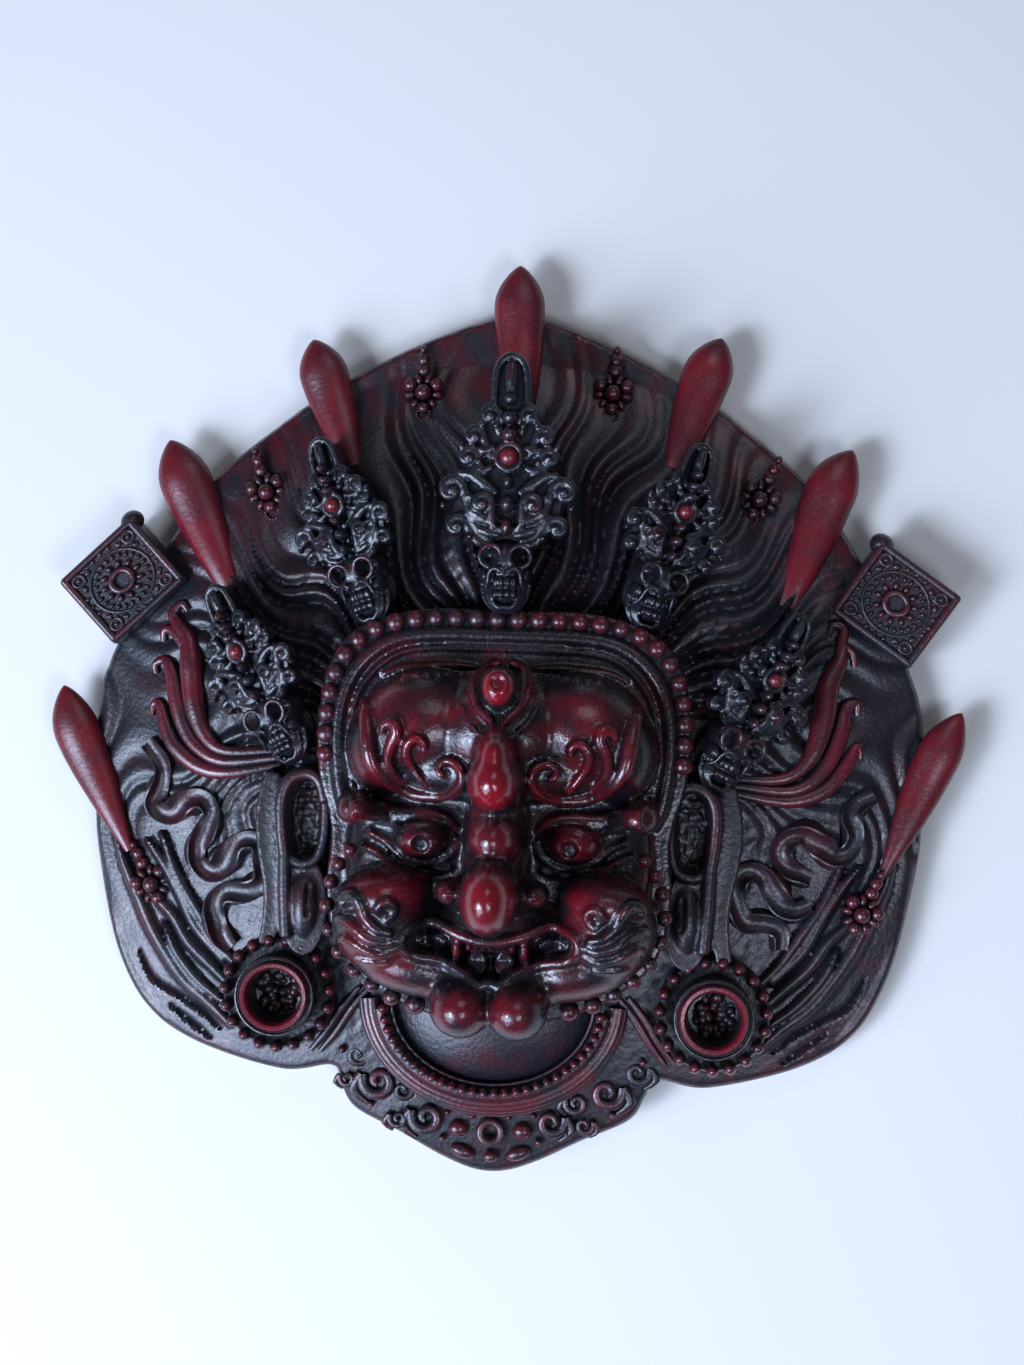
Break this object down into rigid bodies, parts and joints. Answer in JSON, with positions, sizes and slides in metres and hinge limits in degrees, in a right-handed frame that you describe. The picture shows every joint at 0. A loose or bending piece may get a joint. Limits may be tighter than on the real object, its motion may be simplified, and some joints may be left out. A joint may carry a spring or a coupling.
{
  "type": "tibetan cham mask",
  "caption": "Wrathful cham mask cast in one piece of dark red resin: flame-hair fan with petal flames, skull crown, round-nosed face, cup earrings and beaded collar, hollow behind the face",
  "frame": {"origin": "Under the middle of the mask's box, in the plane of its flat back; the mask lies on its back", "axes": "+Z out of the face, +Y up to the crown, +X to the right of someone who faces the mask"},
  "size_m": [0.2965, 0.2942, 0.1],
  "materials": {
    "cast_resin": "dark red cast resin with a black wash in the hollows, rubbed red on the high places, satin gloss"
  },
  "bodies": {
    "root": {"mask": "cast_resin"}
  },
  "joints": []
}
